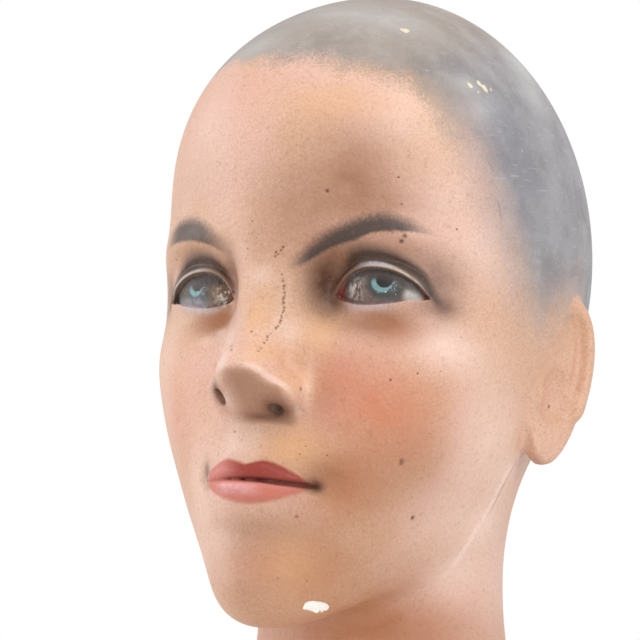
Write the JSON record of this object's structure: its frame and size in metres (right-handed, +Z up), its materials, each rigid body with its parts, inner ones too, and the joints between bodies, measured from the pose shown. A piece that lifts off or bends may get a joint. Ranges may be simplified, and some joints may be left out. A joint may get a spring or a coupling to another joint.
{
  "type": "mannequin head",
  "caption": "Life-size cast shop mannequin head with neck, face turned slightly up, cut flat below so that it stands as a bust.",
  "frame": {"origin": "on the flat underside of the neck, straight below the neck's upright middle line", "axes": "+Z up, the face looks along -Y, the figure's left is +X"},
  "size_m": [0.162, 0.2166, 0.3335],
  "materials": {
    "painted_plaster": "satin skin-coloured paint on cast plaster, sprayed grey-brown hair, painted eyes and lips"
  },
  "bodies": {
    "root": {"head_and_neck": "painted_plaster"}
  },
  "joints": []
}
